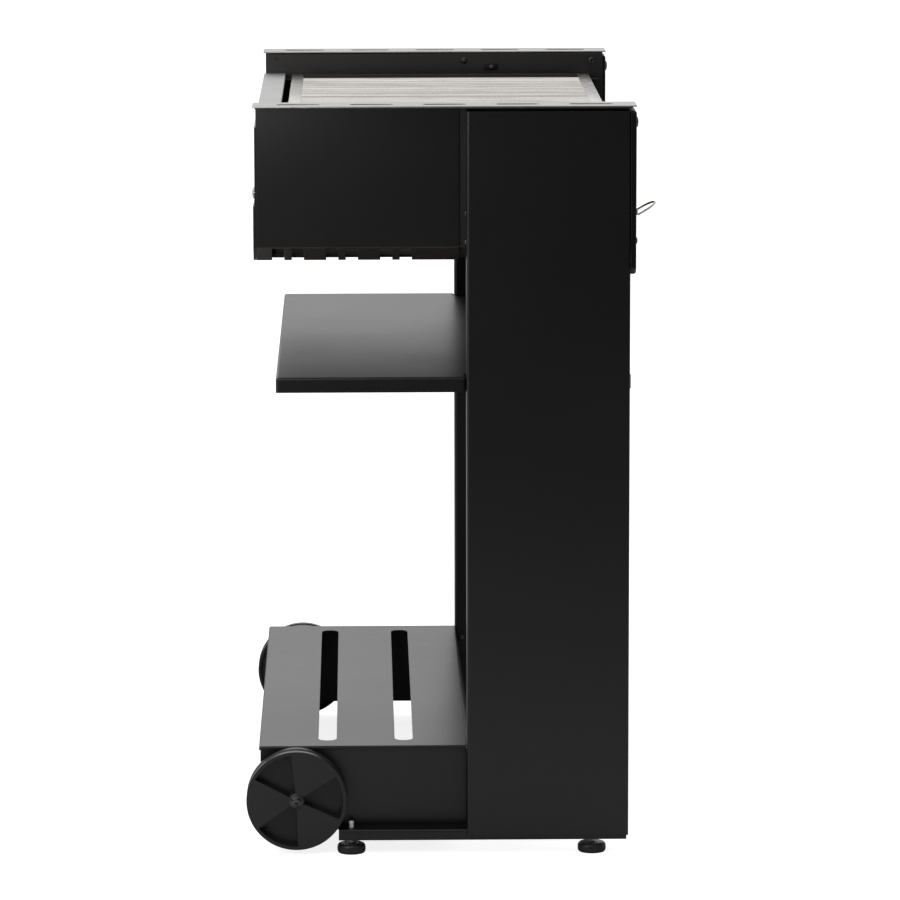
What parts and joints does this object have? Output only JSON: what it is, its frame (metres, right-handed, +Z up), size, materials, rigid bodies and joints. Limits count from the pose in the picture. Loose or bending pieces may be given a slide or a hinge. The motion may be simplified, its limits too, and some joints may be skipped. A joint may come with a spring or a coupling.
{
  "type": "charcoal grill",
  "caption": "Open charcoal grill: folded steel fire box with a rod grate on two box posts, a shelf, a slotted base, wheels and levelling feet.",
  "frame": {"origin": "on the floor under the middle of the bounding box", "axes": "+X towards the front where the cook stands, +Y towards the right-hand end as seen by that person, +Z up"},
  "size_m": [0.4884, 0.816, 0.9],
  "materials": {
    "black_steel": "satin black powder coat with a fine grain",
    "stainless": "satin, brushed lengthwise",
    "zinc": "bright zinc plating",
    "black_plastic": "moulded, lightly glossy"
  },
  "bodies": {
    "frame": {"axle": "zinc", "back_skirt": "black_steel", "back_top_ledge": "stainless", "back_wall": "black_steel", "base_back_panel": "black_steel", "base_front_panel": "black_steel", "base_top": "black_steel", "fire_box_floor": "black_steel", "front_apron": "black_steel", "front_wall": "black_steel", "left_apron_lower_screw": "zinc", "left_apron_upper_screw": "zinc", "left_axle_clip": "zinc", "left_back_screw": "zinc", "left_base_panel": "black_steel", "left_base_screw": "zinc", "left_bottom_rail": "black_steel", "left_ear_screw": "zinc", "left_end_cover": "black_steel", "left_end_wall": "black_steel", "left_grate_ledge": "black_steel", "left_post": "black_steel", "left_post_lower_bolt": "zinc", "left_post_upper_bolt": "zinc", "left_side_rim": "stainless", "left_tool_loop": "stainless", "left_wall_back_screw": "zinc", "left_wall_front_screw": "zinc", "right_apron_lower_screw": "zinc", "right_apron_upper_screw": "zinc", "right_axle_clip": "zinc", "right_back_screw": "zinc", "right_base_panel": "black_steel", "right_base_screw": "zinc", "right_bottom_rail": "black_steel", "right_ear_screw": "zinc", "right_end_cover": "black_steel", "right_end_wall": "black_steel", "right_grate_ledge": "black_steel", "right_post": "black_steel", "right_post_lower_bolt": "zinc", "right_post_upper_bolt": "zinc", "right_side_rim": "stainless", "right_tool_loop": "stainless", "right_wall_back_screw": "zinc", "right_wall_front_screw": "zinc", "shelf": "black_steel"},
    "left_wheel": {"left_wheel": "black_plastic"},
    "right_wheel": {"right_wheel": "black_plastic"},
    "cooking_grate": {"cooking_grate": "stainless"},
    "charcoal_grate": {"charcoal_grate": "stainless"},
    "left_back_foot": {"left_back_foot_pad": "black_plastic", "left_back_foot_stud": "zinc"},
    "left_front_foot": {"left_front_foot_pad": "black_plastic", "left_front_foot_stud": "zinc"},
    "right_back_foot": {"right_back_foot_pad": "black_plastic", "right_back_foot_stud": "zinc"},
    "right_front_foot": {"right_front_foot_pad": "black_plastic", "right_front_foot_stud": "zinc"}
  },
  "joints": [
    {"name": "left_wheel_spin", "type": "hinge", "parent": "frame", "child": "left_wheel", "pos_m": [-0.1842, -0.386, 0.066], "axis": [0, 1, 0], "continuous": true},
    {"name": "right_wheel_spin", "type": "hinge", "parent": "frame", "child": "right_wheel", "pos_m": [-0.1842, 0.386, 0.066], "axis": [0, 1, 0], "continuous": true},
    {"name": "left_back_foot_height", "type": "slide", "parent": "frame", "child": "left_back_foot", "axis": [0, 0, 1], "range_m": [-0.01, 0.005]},
    {"name": "left_front_foot_height", "type": "slide", "parent": "frame", "child": "left_front_foot", "axis": [0, 0, 1], "range_m": [-0.01, 0.005]},
    {"name": "right_back_foot_height", "type": "slide", "parent": "frame", "child": "right_back_foot", "axis": [0, 0, 1], "range_m": [-0.01, 0.005]},
    {"name": "right_front_foot_height", "type": "slide", "parent": "frame", "child": "right_front_foot", "axis": [0, 0, 1], "range_m": [-0.01, 0.005]},
    {"name": "cooking_grate_lift", "type": "slide", "parent": "frame", "child": "cooking_grate", "axis": [0, 0, 1], "range_m": [0, 0.12]},
    {"name": "charcoal_grate_lift", "type": "slide", "parent": "frame", "child": "charcoal_grate", "axis": [0, 0, 1], "range_m": [0, 0.1]}
  ]
}
